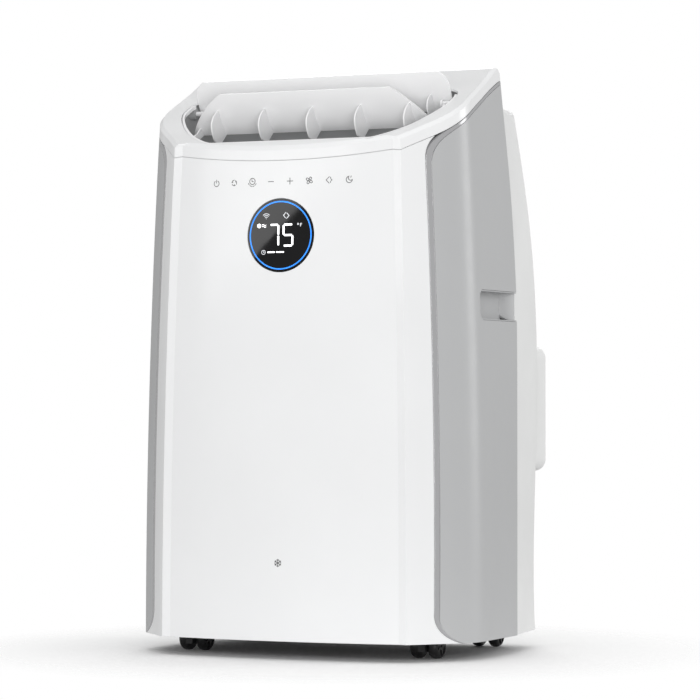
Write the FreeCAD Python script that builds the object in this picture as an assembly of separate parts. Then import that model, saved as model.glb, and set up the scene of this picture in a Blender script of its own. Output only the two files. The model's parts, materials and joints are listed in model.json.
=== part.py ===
import FreeCAD, Part
import math
import os

os.makedirs("parts", exist_ok=True)

# Portable air conditioner, millimetres.
# X to the right seen from the front, Y to the back, Z up, floor at Z 0,
# origin under the middle of the whole box.

# ---- driving dimensions ----------------------------------------------------
HEIGHT = 715.0
SKIRT_Z = 21.6
WALL = 3.0
SEAM = 0.5

FRONT_Y = -188.25
CREASE_X = 161.9
CREASE_Y = -176.4
GROOVE_X = 151.7
GROOVE_Y = -174.8
BEVEL_X = 186.9
BEVEL_Y = -150.1
HALF_WIDTH = 223.9
SIDE_START_Y = -87.0
TAPER_Z = 600.0
CREASE_TAPER = 11.2
BEVEL_TAPER = 14.0
SIDE_TAPER = 15.5
FRONT_TAPER = 9.2
BEVEL_TAPER_Y = 5.3

CASING_HALF = 204.5
CASING_FRONT_Y = 8.0
LIP_HEIGHT = 16.0
CHAMFER = 3.6
TRIM = 4.6

OUTLET_X = 3.0
OUTLET_FRONT_Y = -168.0
OUTLET_REAR_Y = -51.0
OUTLET_HALF = 181.0
BLADE = 2.4
BLADE_TRAVEL = 88.0
FRONT_PIVOT = (-106.6, 631.7)
REAR_PIVOT = (-63.5, 666.2)
FIN_PITCH = 64.3
FIN = 1.8
ARM = 2.4
PIN_R = 3.0
LINK_X = 167.0
SHAFT_X0 = -176.0
SHAFT_X1 = 182.0
RIGHT_EASE = 5.0

DISPLAY_Z = 505.2
DISPLAY_R = 44.0

GRIP_Y0 = -80.5
GRIP_Y1 = 38.4
GRIP_Z0 = 404.4
GRIP_Z1 = 440.7
GRIP_FLOOR_X = 200.2

COLLAR_X = 118.0
COLLAR_Z = 297.6
COLLAR_SIDE = 158.0
COLLAR_BORE = 73.5
COLLAR_REAR = 188.25

CASTER_X = (155.4, 150.0)
CASTER_Y = (-109.0, 92.0)
WHEEL_R = 16.0
WHEEL_W = 13.0
WHEEL_TRAIL = 12.0
AXLE_R = 2.5
STEM_R = 5.0
RUN = 0.06

PAN_Z = 38.0
FLOOR_Z = 392.0

UPPER = (-168.0, 168.0, 446.0, 628.0)
LOWER = (-184.0, 12.0, 70.0, 372.0)
SLAT = 5.0
DRAIN_X = -136.0
DRAIN_Z = 48.0
GLAND_X = 150.0
GLAND_Z = 84.0
PIPE_HOLES = ((-149.0, 107.0, 12.2), (-128.0, 108.0, 7.0))
SCREWS = [(side * 190.0, z) for side in (-1, 1) for z in (36.0, 216.0, 408.0)]


def V(x, y, z):
    return FreeCAD.Vector(x, y, z)


X_AXIS = V(1, 0, 0)
Y_AXIS = V(0, 1, 0)
Z_AXIS = V(0, 0, 1)


# ---- small helpers -----------------------------------------------------------
def box(x0, x1, y0, y1, z0, z1):
    return Part.makeBox(x1 - x0, y1 - y0, z1 - z0, V(x0, y0, z0))


def round_box(x0, x1, y0, y1, z0, z1, r, axis):
    b = box(x0, x1, y0, y1, z0, z1)
    edges = [e for e in b.Edges if abs(e.tangentAt(e.FirstParameter).dot(axis)) > 0.99]
    return b.makeFillet(r, edges)


def rod(r, p, direction, length):
    return Part.makeCylinder(r, length, p, direction)


def tube(r_out, r_in, p, direction, length):
    return rod(r_out, p, direction, length).cut(rod(r_in, p, direction, length))


def fuse(shapes):
    s = shapes[0]
    if len(shapes) > 1:
        s = s.fuse(shapes[1:])
    return s.removeSplitter()


def group(shapes):
    return Part.makeCompound(shapes)


def solids(shape):
    found = [s for s in shape.Solids if s.Volume > 20.0]
    return found[0] if len(found) == 1 else Part.makeCompound(found)


def spline(points, start=None, end=None):
    c = Part.BSplineCurve()
    if start is None:
        c.interpolate(points)
    else:
        c.interpolate(Points=points, InitialTangent=start, FinalTangent=end)
    return c.toShape()


def bezier(points):
    c = Part.BezierCurve()
    c.setPoles(points)
    return c.toShape()


def polyline(points):
    return [Part.LineSegment(a, b).toShape() for a, b in zip(points, points[1:])]


def along_x(edges, x0=-300.0, x1=300.0):
    # a closed outline in the YZ plane, pushed along X
    f = Part.Face(Part.Wire(edges))
    f.translate(V(x0, 0, 0))
    return f.extrude(V(x1 - x0, 0, 0))


def pipe(points, r):
    # a round tube through corners, with an arc at each corner
    edges = []
    here = points[0]
    for i in range(1, len(points) - 1):
        a = points[i - 1].sub(points[i])
        b = points[i + 1].sub(points[i])
        reach = 0.4 * min(a.Length, b.Length)
        a.normalize()
        b.normalize()
        p = points[i].add(a * reach)
        q = points[i].add(b * reach)
        half = a.getAngle(b) / 2.0
        bis = a.add(b).normalize()
        drop = reach / math.cos(half)
        mid = points[i].add(bis * (drop - reach * math.tan(half)))
        edges.append(Part.LineSegment(here, p).toShape())
        edges.append(Part.Arc(p, mid, q).toShape())
        here = q
    edges.append(Part.LineSegment(here, points[-1]).toShape())
    w = Part.Wire(edges)
    c = Part.Circle(points[0], points[1].sub(points[0]), r).toShape()
    return w.makePipeShell([Part.Wire(c)], True, True)


# ---- the body's outer form ---------------------------------------------------
def body_section(z, inset, back_y):
    t = (z / TAPER_Z) ** 2
    d = inset
    front = V(0, FRONT_Y + FRONT_TAPER * t + d, z)
    gx = GROOVE_X - CREASE_TAPER * t - 0.2 * d
    gy = GROOVE_Y + FRONT_TAPER * t + d
    cx = CREASE_X - CREASE_TAPER * t - 0.55 * d
    cy = CREASE_Y + FRONT_TAPER * t + 0.95 * d
    bx = BEVEL_X - BEVEL_TAPER * t - 0.78 * d
    by = BEVEL_Y + BEVEL_TAPER_Y * t + 0.62 * d
    sx = HALF_WIDTH - SIDE_TAPER * t - d
    sy = SIDE_START_Y
    right = spline([V(cx, cy, z), V(bx, by, z), V(sx, sy, z)], V(30, 25, 0), V(0, 75, 0))
    left = spline([V(-sx, sy, z), V(-bx, by, z), V(-cx, cy, z)], V(0, -75, 0), V(30, -25, 0))
    nose = polyline([V(-cx, cy, z), V(-gx, gy, z)])
    nose.append(Part.Arc(V(-gx, gy, z), front, V(gx, gy, z)).toShape())
    nose += polyline([V(gx, gy, z), V(cx, cy, z)])
    back = polyline([V(sx, sy, z), V(sx, back_y, z), V(-sx, back_y, z), V(-sx, sy, z)])
    return Part.Wire(nose + [right] + back + [left])


def body_form(inset, z0=SKIRT_Z, z1=730.0, back_y=60.0):
    levels = [z0 + (z1 - z0) * k / 4.0 for k in range(5)]
    return Part.makeLoft([body_section(z, inset, back_y) for z in levels], True, False)


def casing_section(z, half, back, front_half, inset):
    y0 = CASING_FRONT_Y
    r = 9.0
    d = inset
    fx = front_half - 0.6 - d
    h = half - d
    b = back - d
    slope = V(h - fx, b - y0, 0).normalize()
    p1 = V(h, b, z).sub(slope * r)
    right = [V(fx, y0, z), V(p1.x, p1.y, z)]
    turn = Part.Arc(V(p1.x, p1.y, z), V(h - 0.22 * r, b - 0.33 * r, z), V(h - r, b, z)).toShape()
    turn_l = Part.Arc(V(-h + r, b, z), V(-h + 0.22 * r, b - 0.33 * r, z), V(-p1.x, p1.y, z)).toShape()
    edges = polyline(right) + [turn] + polyline([V(h - r, b, z), V(-h + r, b, z)]) + [turn_l]
    edges += polyline([V(-p1.x, p1.y, z), V(-fx, y0, z), V(fx, y0, z)])
    return Part.Wire(edges)


def casing_form(inset, z0=SKIRT_Z):
    rows = []
    for z, half, back in ((z0, CASING_HALF, 133.0), (220.0, CASING_HALF, 135.0),
                          (420.0, CASING_HALF, 137.0), (528.0, 198.5, 131.0),
                          (620.0, 191.0, 116.0), (680.0, 185.5, 103.0),
                          (730.0, 181.0, 92.0)):
        front_half = HALF_WIDTH - SIDE_TAPER * (z / TAPER_Z) ** 2
        rows.append(casing_section(z, half, back, front_half, inset))
    return Part.makeLoft(rows, True, False)


# ---- side profiles, as (y, z) ------------------------------------------------
PARTING = ((-200.0, 583.0), (-179.0, 594.8), (-166.0, 604.0), (-140.0, 619.0), (-112.0, 637.5),
           (-86.0, 652.5), (-57.0, 666.8), (-28.0, 681.0), (-3.0, 692.2), (20.0, 701.0), (60.0, 714.0))


REAR_EDGE = ((20.0, 0.0), (23.5, 186.0), (30.0, 309.0), (37.0, 431.0), (36.0, 505.0),
             (30.0, 590.0), (22.0, 655.0), (17.0, 702.0), (14.5, 725.0))
TRIM_JOIN = (-106.0, 641.0)
FALL_END = (170.0, 640.0)
SHELF_Z = 669.5
SHELF_ROUND = 7.0
UPSTAND_Y = 24.5


def parting_edge(rise=0.0, shift=0.0):
    return spline([V(0, y + shift, z + rise) for y, z in PARTING])


def below_parting(drop=0.0):
    e = parting_edge(-drop)
    a = e.Vertexes[0].Point
    b = e.Vertexes[-1].Point
    return along_x([e] + polyline([b, V(0, b.y, -10), V(0, a.y, -10), a]))


def top_edge(rise=0.0):
    # the sloped top, its crest and the fall behind it
    pts = [V(0, y, z + LIP_HEIGHT + rise) for y, z in PARTING[:8]]
    slope = spline(pts + [V(0, -3.0, 711.2 + rise), V(0, 3.2, HEIGHT + rise - 0.4)])
    end = slope.Vertexes[-1].Point
    crest = Part.Arc(end, V(0, 8.0, HEIGHT + rise - 0.9), V(0, 15.0, 709.0 + rise)).toShape()
    fall = polyline([V(0, 15.0, 709.0 + rise), V(0, FALL_END[0], FALL_END[1] + rise)])
    return [slope, crest] + fall


def below_top(drop=0.0):
    e = top_edge(-drop)
    a = e[0].Vertexes[0].Point
    b = V(0, FALL_END[0], FALL_END[1] - drop)
    return along_x(e + polyline([b, V(0, b.y, -10), V(0, a.y, -10), a]))


def casing_top(inset):
    # upstand behind the crest, then a flat shelf
    upstand = below_top(0.6 + inset).common(box(-300, 300, -50, UPSTAND_Y - inset, -20, 760))
    return upstand.fuse(box(-300, 300, -50, 220, -20, SHELF_Z - inset)).removeSplitter()


def ahead_of_rear_edge(gap=0.0):
    e = spline([V(0, y - gap, z) for y, z in REAR_EDGE])
    return along_x([e] + polyline([V(0, REAR_EDGE[-1][0] - gap, 725), V(0, -300, 725),
                                   V(0, -300, 0), V(0, REAR_EDGE[0][0] - gap, 0)]))


def side_region(step, gap):
    # side panel seen from the side: front edge, rounded corners, top edge
    y0 = BEVEL_Y + step
    y1 = BEVEL_Y + BEVEL_TAPER_Y + step
    r0 = 30.0 - 0.5 * step
    low = SKIRT_Z - 1.0
    bottom = Part.Arc(V(0, y0 + r0, low), V(0, y0 + 0.3 * r0, low + 0.36 * r0),
                      V(0, y0, low + 1.25 * r0)).toShape()
    drop = gap + 0.95 * step
    curve = [V(0, y, z - drop) for y, z in PARTING if y > TRIM_JOIN[0] + 4.0]
    join = V(0, TRIM_JOIN[0], TRIM_JOIN[1] - drop)
    corner = bezier([V(0, y1, join.z - 52.0), V(0, y1, join.z - 25.0), join.sub(V(0, 21.0, 12.8)), join])
    top = spline([join] + curve, V(0, 21.0, 12.8), V(0, 40.0, 13.0))
    front = Part.LineSegment(V(0, y0, low + 1.25 * r0), V(0, y1, join.z - 52.0)).toShape()
    end = top.Vertexes[-1].Point
    rest = polyline([end, V(0, end.y, low), V(0, y0 + r0, low)])
    return along_x([bottom, front, corner, top] + rest)


# ---- hand grip ---------------------------------------------------------------
def grip_form(off, deeper):
    # pocket with a flat floor and a ramp that rises to the panel's rear edge
    x_in = GRIP_FLOOR_X - deeper
    z0 = GRIP_Z0 + off
    z1 = GRIP_Z1 - off
    pocket = round_box(x_in, 260.0, GRIP_Y0 + off, GRIP_Y1 + 30.0, z0, z1, 9.0 - off, X_AXIS)
    pocket = pocket.common(box(x_in, 260.0, -200.0, GRIP_Y1, z0, z1))
    foot = V(x_in - 1.0, 18.0 + deeper, 0)
    mid = V(x_in + 8.6, 26.4 + deeper, 0)
    crest = V(213.4 - deeper, GRIP_Y1 + 0.1, 0)
    edges = [Part.Arc(foot, mid, crest).toShape()] + polyline([crest, V(foot.x, crest.y, 0), foot])
    ramp = Part.Face(Part.Wire(edges)).extrude(V(0, 0, 500))
    outline = round_box(x_in - 5.0, 260.0, 0.0, 90.0, z0, z1 + 60.0, 14.0, X_AXIS)
    keep = box(x_in - 5.0, 260.0, 18.0, 90.0, z0, z1)
    outline.translate(V(0, 17.0, 0))
    return pocket.cut(ramp.common(outline).common(keep))


# ---- outlet ------------------------------------------------------------------
def outlet_prism(front, side, rear, z0=560.0, z1=760.0):
    # front, side and rear grow the outline outward
    f = OUTLET_FRONT_Y - front
    h = OUTLET_HALF + side
    b = OUTLET_REAR_Y + rear
    r = 26.0 + side
    c = OUTLET_X
    g = 0.5 * side
    right = bezier([V(c + 104, f, z0), V(c + 124 + g, f, z0), V(c + h, -118 - g, z0), V(c + h, -88, z0)])
    left = bezier([V(c - h, -88, z0), V(c - h, -118 - g, z0), V(c - 124 - g, f, z0), V(c - 104, f, z0)])
    k = r * (1.0 - math.sqrt(0.5))
    back_r = Part.Arc(V(c + h, b - r, z0), V(c + h - k, b - k, z0), V(c + h - r, b, z0)).toShape()
    back_l = Part.Arc(V(c - h + r, b, z0), V(c - h + k, b - k, z0), V(c - h, b - r, z0)).toShape()
    edges = polyline([V(c - 104, f, z0), V(c + 104, f, z0)]) + [right]
    edges += polyline([V(c + h, -88, z0), V(c + h, b - r, z0)]) + [back_r]
    edges += polyline([V(c + h - r, b, z0), V(c - h + r, b, z0)]) + [back_l]
    edges += polyline([V(c - h, b - r, z0), V(c - h, -88, z0)]) + [left]
    return Part.Face(Part.Wire(edges)).extrude(V(0, 0, z1 - z0))


def blade_solid(a, mid, t, x_mid, half, pivot, corner):
    # a thin curved blade from its lower edge a to its free edge t, (y, z)
    back = Part.Arc(V(0, a[0], a[1]), V(0, mid[0], mid[1]), V(0, t[0], t[1]))
    face = Part.Arc(V(0, a[0] - 0.83 * BLADE, a[1] - 0.56 * BLADE),
                    V(0, mid[0] - 0.8 * BLADE, mid[1] - 0.6 * BLADE),
                    V(0, t[0] - 0.95 * BLADE, t[1] - 0.3 * BLADE))
    e1 = back.toShape()
    e2 = face.toShape()
    ends = polyline([back.EndPoint, face.EndPoint]) + polyline([face.StartPoint, back.StartPoint])
    s = along_x([e1, ends[0], e2, ends[1]], x_mid - half, x_mid + half)
    # trimmed in the closed place, so that it fits the outlet when it shuts
    centre = V(0, pivot[0], pivot[1])
    s.rotate(centre, X_AXIS, BLADE_TRAVEL)
    fit = outlet_prism(-5.0, -5.0, -4.6)
    narrow = fit.copy()
    narrow.translate(V(-RIGHT_EASE, 0, 0))
    fit = fit.common(box(-300, 60, -300, 0, 500, 800)).fuse(narrow.common(box(60, 300, -300, 0, 500, 800)))
    s = s.common(fit)
    s.rotate(centre, X_AXIS, -BLADE_TRAVEL)
    keep = round_box(x_mid - half, x_mid + half, -200, 0, t[1] - 120.0, t[1] + 0.5, corner, Y_AXIS)
    return s.common(keep)


def fin(a, scale, x):
    # sail-shaped fin ahead of the blade's lower edge a
    def at(fwd, up):
        return V(x, a[0] - fwd * scale, a[1] + up * scale)
    lead = spline([at(22.5, 27.5), at(37.0, 18.5), at(43.0, 7.0), at(40.5, -3.0), at(33.0, -12.0)])
    foot = polyline([at(33.0, -12.0), at(20.0, -15.5), at(2.5, -1.0)])
    side = polyline([at(2.5, -1.0), at(22.5, 27.5)])
    f = Part.Face(Part.Wire([lead] + foot + side))
    return f.extrude(V(FIN, 0, 0))


def louver(a, mid, t, x_mid, half, pivot, fin_x, scale, corner):
    # curved blade, five fins, and an arm with a stub shaft at each end
    pieces = [blade_solid(a, mid, t, x_mid, half, pivot, corner)]
    for k in range(-2, 3):
        pieces.append(fin(a, scale, fin_x + FIN_PITCH * k - FIN / 2.0))
    left = x_mid - half + 14.0
    right = x_mid + half - 12.0
    for x in (left, right):
        root = V(x, 0.6 * a[0] + 0.4 * mid[0] - 1.9, 0.6 * a[1] + 0.4 * mid[1] - 1.0)
        outline = [V(x, pivot[0], pivot[1] - 5.0), V(x, pivot[0] - 4.5, pivot[1]), root, V(x, a[0] - 0.6, a[1])]
        pieces.append(Part.Face(Part.makePolygon(outline + [outline[0]])).extrude(V(ARM, 0, 0)))
        pieces.append(rod(5.0, V(x, pivot[0], pivot[1]), X_AXIS, ARM))
    pieces.append(rod(PIN_R, V(SHAFT_X0, pivot[0], pivot[1]), X_AXIS, left + ARM - SHAFT_X0))
    pieces.append(rod(PIN_R, V(right, pivot[0], pivot[1]), X_AXIS, SHAFT_X1 - right))
    return pieces


# ---- casters -----------------------------------------------------------------
def caster_yoke(x, y):
    wx = V(x, y + WHEEL_TRAIL, WHEEL_R)
    hood = rod(WHEEL_R + 2.4, wx.sub(V(20.2, 0, 0)), X_AXIS, 40.4)
    hollow = rod(WHEEL_R + 1.0, wx.sub(V(18.6, 0, 0)), X_AXIS, 37.2)
    hood = hood.cut(hollow)
    hood = hood.cut(box(x - 21, x + 21, y - 30, y + 60, -10, WHEEL_R + 1.0))
    hood = hood.cut(box(x - 21, x + 21, y - 30, y + 60, WHEEL_R + 1.0 + 14.2, 60))
    web = box(x - 4.5, x + 4.5, y - 9.0, y + WHEEL_TRAIL + 7.0, 9.0, WHEEL_R + 14.0)
    web = web.fuse(rod(4.5, V(x, y, 9.0), Z_AXIS, 24.0))
    web = web.fuse(rod(8.0, V(x, y, 32.3), Z_AXIS, 1.4))
    web = web.fuse(rod(STEM_R, V(x, y, 32.3), Z_AXIS, 17.7))
    axle = rod(AXLE_R, wx.sub(V(19.4, 0, 0)), X_AXIS, 38.8)
    return fuse([hood, web, axle])


def caster_wheels(x, y):
    made = []
    for side in (-1.0, 1.0):
        x0 = x + (5.0 if side > 0 else -5.0 - WHEEL_W)
        c = V(x0, y + WHEEL_TRAIL, WHEEL_R)
        w = rod(WHEEL_R, c, X_AXIS, WHEEL_W)
        w = w.makeFillet(1.6, [e for e in w.Edges if e.Length > 60.0])
        w = w.cut(rod(AXLE_R + RUN, c, X_AXIS, WHEEL_W))
        made.append(w)
    return group(made)


# ---- machinery ---------------------------------------------------------------
def coil_pack(x0, x1, y0, y1, z0, z1, rows):
    # finned block with end plates and the tubes' return bends
    block = box(x0 + 3, x1 - 3, y0, y1, z0, z1)
    pitch = (z1 - z0) / rows
    parts = [block]
    for x in (x0 + 1.2, x1 - 3.0):
        parts.append(box(x, x + 1.8, y0 - 3, y1 + 3, z0 - 1, z1 + 1))
    for k in range(rows - 1):
        zc = z0 + pitch * (k + 1.0)
        side = x0 + 1.2 if k % 2 else x1 - 1.2
        bend = Part.makeTorus(pitch / 2.0, 3.2, V(side, (y0 + y1) / 2.0, zc), Y_AXIS)
        keep = box(side - 40, side, y0, y1, z0, z1) if k % 2 else box(side, side + 40, y0, y1, z0, z1)
        parts.append(bend.common(keep))
    return fuse(parts)


def blower_wheel(x, z, y0, y1, r, blades):
    # hub plate, ring of forward-curved blades, end ring and boss, axis along Y
    parts = [rod(r, V(x, y0, z), Y_AXIS, 2.0)]
    parts.append(tube(r, r - 9.0, V(x, y1 - 2.5, z), Y_AXIS, 2.5))
    parts.append(rod(14.0, V(x, y0, z), Y_AXIS, 26.0))
    for k in range(blades):
        b = box(r - 10.0, r - 1.0, y0 + 1.0, y1 - 1.0, -1.1, 1.1)
        b.rotate(V(r - 5.0, 0, 0), Y_AXIS, 32.0)
        b.rotate(V(0, 0, 0), Y_AXIS, 360.0 * k / blades)
        b.translate(V(x, 0, z))
        parts.append(b)
    wheel = parts[0].fuse(parts[1:])
    return wheel.cut(rod(5.0 + RUN, V(x, y0 - 1, z), Y_AXIS, 40.0))


def fan_motor(x, z, y0, y1, tip_y, r):
    can = rod(r, V(x, y0, z), Y_AXIS, y1 - y0)
    can = can.makeFillet(4.0, [e for e in can.Edges if e.Length > 6.0 * r - 1 or len(e.Vertexes) == 1])
    shaft = rod(5.0, V(x, y1 - 1.0, z), Y_AXIS, tip_y - y1 + 1.0)
    feet = [box(x + s * r - 8, x + s * r + 8, y0 + 4, y0 + 8, z - 10, z + 10) for s in (-1, 1)]
    return fuse([can, shaft] + feet)


def scroll(x, z, y0, y1, r, inlet_r, neck, motor_r):
    # spiral casing, open at the neck; neck is x0, x1, top z
    outer = rod(r, V(x, y0, z), Y_AXIS, y1 - y0)
    outer = outer.fuse(box(neck[0], neck[1], y0, y1, z, neck[2]))
    w = 2.2
    inner = rod(r - w, V(x, y0 + w, z), Y_AXIS, y1 - y0 - 2 * w)
    inner = inner.fuse(box(neck[0] + w, neck[1] - w, y0 + w, y1 - w, z, neck[2] + 1))
    s = outer.cut(inner)
    s = s.cut(rod(inlet_r, V(x, y1 - 2 * w, z), Y_AXIS, 4 * w))
    return s.cut(rod(motor_r, V(x, y0 - w, z), Y_AXIS, 4 * w))


def grille(shell, area, columns):
    # slatted cover cut out of the casing's own skin
    x0, x1, z0, z1 = area
    frame = box(x0 + 0.6, x1 - 0.6, 60, 200, z0 + 0.6, z1 - 0.6)
    frame = frame.cut(box(x0 + 9, x1 - 9, 50, 210, z0 + 9, z1 - 9))
    bars = [frame]
    z = z0 + 9.0 + SLAT
    while z + SLAT < z1 - 9.0:
        bars.append(box(x0 + 8, x1 - 8, 60, 200, z, z + SLAT))
        z += 2.0 * SLAT
    for k in range(1, columns):
        x = x0 + (x1 - x0) * k / columns
        bars.append(box(x - 2.5, x + 2.5, 60, 200, z0 + 8, z1 - 8))
    pattern = bars[0].fuse(bars[1:])
    return shell.common(pattern)


def filter_sheet(area, y_low, y_high):
    # thin mesh in its own frame, leaning with the casing's back
    x0, x1, z0, z1 = area
    pts = [V(0, y_low, z0 + 4), V(0, y_low + 3, z0 + 4), V(0, y_high + 3, z1 - 4), V(0, y_high, z1 - 4)]
    return along_x(polyline(pts + [pts[0]]), x0 + 4, x1 - 4)


# ---- build -------------------------------------------------------------------
NODES = {}

outer = body_form(0.0)
inner = body_form(WALL)
ring = outer.cut(inner)
lens_ring = outer.cut(body_form(WALL - 0.6))
ahead = ahead_of_rear_edge(0.3)
under = below_parting(0.3)

# the right side's pieces, and their mirror images on the left
shell = ring.common(box(0, 300, -300, 300, 0, 760)).common(ahead)
panel = shell.common(side_region(TRIM + SEAM, SEAM)).cut(grip_form(-0.1, 2.5))
rim = shell.common(side_region(0.0, SEAM)).cut(side_region(TRIM, SEAM))
cup = grip_form(0.2, 2.2).cut(grip_form(1.6, 0.0))
cup = cup.common(body_form(0.5, 380.0, 460.0)).common(ahead)
for shape, name in ((panel, "side_panel"), (rim, "panel_trim"), (cup, "grip_cup")):
    NODES["right_" + name] = solids(shape)
    NODES["left_" + name] = solids(shape).mirror(V(0, 0, 0), X_AXIS)

front = ring.common(ahead).common(under).cut(side_region(-SEAM, -3.0))
front = front.cut(rod(DISPLAY_R + 0.3, V(0, -230, DISPLAY_Z), Y_AXIS, 100))
pieces = sorted(front.Solids, key=lambda s: -s.Volume)
NODES["front_panel"] = pieces[0]
NODES["display_lens"] = solids(lens_ring.common(rod(DISPLAY_R, V(0, -230, DISPLAY_Z), Y_AXIS, 80)))
guide = tube(41.5, 37.5, V(0, -230, DISPLAY_Z), Y_AXIS, 80)
NODES["display_light_ring"] = solids(body_form(WALL).cut(body_form(6.0)).common(guide))

# top cover with its chamfered edge and the outlet
cover = outer.cut(below_parting(-0.3)).common(below_top()).common(ahead)
edge_list = []
for e in cover.Edges:
    b = e.BoundBox
    m = e.valueAt((e.FirstParameter + e.LastParameter) / 2.0)
    on_top = m.z > 600.0 and not below_top(0.4).isInside(m, 0.01, True)
    flat = e.Length > 20.0 and m.y < 12.0
    if on_top and flat and b.YMax < 16.5:
        edge_list.append(e)
cover = cover.makeChamfer(CHAMFER, edge_list)
cover = cover.cut(inner.common(below_top(WALL)))
cover = cover.cut(outlet_prism(0, 0, 0))
NODES["top_cover"] = solids(cover)

band = outlet_prism(-1.0, -1.0, -1.0).cut(outlet_prism(-4.0, -4.0, -4.0))
band = band.cut(box(-300, 300, REAR_PIVOT[0] - 4.5, 100, 500, 800))
NODES["outlet_ring"] = solids(band.common(below_top(1.0)).cut(below_top(5.5)))

tub = outlet_prism(4.0, 6.5, 12.5, 596.0).common(below_top(WALL + 0.4))
tub = tub.cut(outlet_prism(1.6, 4.1, 10.1, 598.4))
neck_hole = box(-98, 98, -119, -31, 590, 610)
tub = tub.cut(neck_hole)
tub = tub.common(body_form(WALL + 0.5, 400.0, 740.0))

# rear casing
behind = box(-300, 300, -300, 300, 0, 760).cut(ahead_of_rear_edge(-0.3))
casing_out = casing_form(0.0)
casing_block = casing_out.common(casing_top(0.0))
shelf_edges = []
for e in casing_block.Edges:
    b = e.BoundBox
    if abs(b.ZMin - SHELF_Z) < 0.01 and b.ZLength < 0.02 and b.YMax > 60.0:
        shelf_edges.append(e)
casing_block = casing_block.makeFillet(SHELF_ROUND, shelf_edges)
casing_skin = casing_block.cut(casing_form(WALL, SKIRT_Z - 1.0).common(casing_top(WALL)))
casing_skin = casing_skin.common(behind)
casing = casing_skin
for area in (UPPER, LOWER):
    casing = casing.cut(box(area[0], area[1], 60, 200, area[2], area[3]))
casing = casing.cut(rod(COLLAR_BORE + 2.0, V(COLLAR_X, 90, COLLAR_Z), Y_AXIS, 100))
casing = casing.cut(rod(8.2, V(DRAIN_X, 90, DRAIN_Z), Y_AXIS, 100))
casing = casing.cut(rod(7.2, V(GLAND_X, 90, GLAND_Z), Y_AXIS, 100))
for x, z in SCREWS:
    casing = casing.cut(rod(2.2, V(x, 110, z), Y_AXIS, 40))
NODES["rear_casing"] = solids(casing)
NODES["upper_inlet_grille"] = solids(grille(casing_skin, UPPER, 6))
NODES["lower_inlet_grille"] = solids(grille(casing_skin, LOWER, 4))
NODES["upper_filter"] = filter_sheet(UPPER, 126.0, 104.5)
NODES["lower_filter"] = filter_sheet(LOWER, 126.5, 126.5)

# exhaust collar
h = COLLAR_SIDE / 2.0
collar = round_box(COLLAR_X - h, COLLAR_X + h, 120.0, COLLAR_REAR, COLLAR_Z - h, COLLAR_Z + h, 15.0, Y_AXIS)
rear_edges = [e for e in collar.Edges if abs(e.BoundBox.YMin - COLLAR_REAR) < 0.01]
collar = collar.makeFillet(5.0, rear_edges)
collar = collar.cut(casing_form(-0.3))
collar = collar.cut(rod(COLLAR_BORE, V(COLLAR_X, 100, COLLAR_Z), Y_AXIS, 120))
NODES["exhaust_collar"] = collar

# louvers
front_a = (-85.0, 638.0)
front_pieces = louver(front_a, (-105.5, 660.5), (-116.9, 684.0), -1.0, 166.0, FRONT_PIVOT, 8.6, 1.0, 12.0)
rear_a = (-45.5, 659.3)
rear_pieces = louver(rear_a, (-62.2, 681.2), (-71.8, 705.0), -0.25, 171.25, REAR_PIVOT, 16.7, 0.72, 20.0)


def crank(pivot, x):
    # arm from the shaft to the link pin, hanging below the shaft
    arm = box(x - 5.0, x - 2.0, pivot[0] - 4.5, pivot[0] + 4.5, pivot[1] - 14.0, pivot[1])
    arm = arm.fuse(rod(4.5, V(x - 5.0, pivot[0], pivot[1] - 14.0), X_AXIS, 3.0))
    return arm.fuse(rod(2.0, V(x - 3.0, pivot[0], pivot[1] - 14.0), X_AXIS, 7.6))


front_pieces.append(crank(FRONT_PIVOT, LINK_X))
rear_pieces.append(crank(REAR_PIVOT, LINK_X))
NODES["front_louver"] = fuse(front_pieces)
NODES["rear_louver"] = fuse(rear_pieces)
low_pin = V(LINK_X - 1.4, FRONT_PIVOT[0], FRONT_PIVOT[1] - 14.0)
high_pin = V(LINK_X - 1.4, REAR_PIVOT[0], REAR_PIVOT[1] - 14.0)
run = high_pin.sub(low_pin)
side_dir = V(0, -run.z, run.y).normalize()
bar_pts = [low_pin.add(side_dir * 3.4), high_pin.add(side_dir * 3.4),
           high_pin.sub(side_dir * 3.4), low_pin.sub(side_dir * 3.4)]
bar = Part.Face(Part.makePolygon(bar_pts + [bar_pts[0]])).extrude(V(3.0, 0, 0))
bar = fuse([bar, rod(4.6, low_pin, X_AXIS, 3.0), rod(4.6, high_pin, X_AXIS, 3.0)])
bar = bar.cut(rod(2.0 + RUN, low_pin.sub(X_AXIS), X_AXIS, 6.0))
bar = bar.cut(rod(2.5, high_pin.sub(X_AXIS), X_AXIS, 6.0))
NODES["louver_link"] = bar

# pivot holes through the outlet duct, and the stepper motor on its end
for pivot in (FRONT_PIVOT, REAR_PIVOT):
    for x0, x1 in ((-183.6, -173.2), (177.2, 189.6)):
        tub = tub.fuse(rod(7.0, V(x0, pivot[0], pivot[1]), X_AXIS, x1 - x0))
for pivot in (FRONT_PIVOT, REAR_PIVOT):
    hole = V(SHAFT_X0 - 0.4, pivot[0], pivot[1])
    tub = tub.cut(rod(PIN_R + RUN, hole, X_AXIS, SHAFT_X1 - SHAFT_X0 + 0.8))
NODES["outlet_duct"] = solids(tub)
motor_p = V(-192.6, FRONT_PIVOT[0] + 9.6, FRONT_PIVOT[1] - 4.0)
stepper = rod(9.5, motor_p, X_AXIS, 7.2)
stepper = stepper.fuse(box(-192.6, -185.4, motor_p.y - 7.0, motor_p.y + 7.0, motor_p.z - 16.0, motor_p.z - 6.0))
NODES["louver_motor"] = stepper.removeSplitter()

# display and key boards behind the front panel
NODES["display_board"] = box(-48, 48, -169.0, -167.4, DISPLAY_Z - 46, DISPLAY_Z + 46)
NODES["touch_key_board"] = box(-105, 105, -167.0, -165.4, 558, 583)

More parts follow.
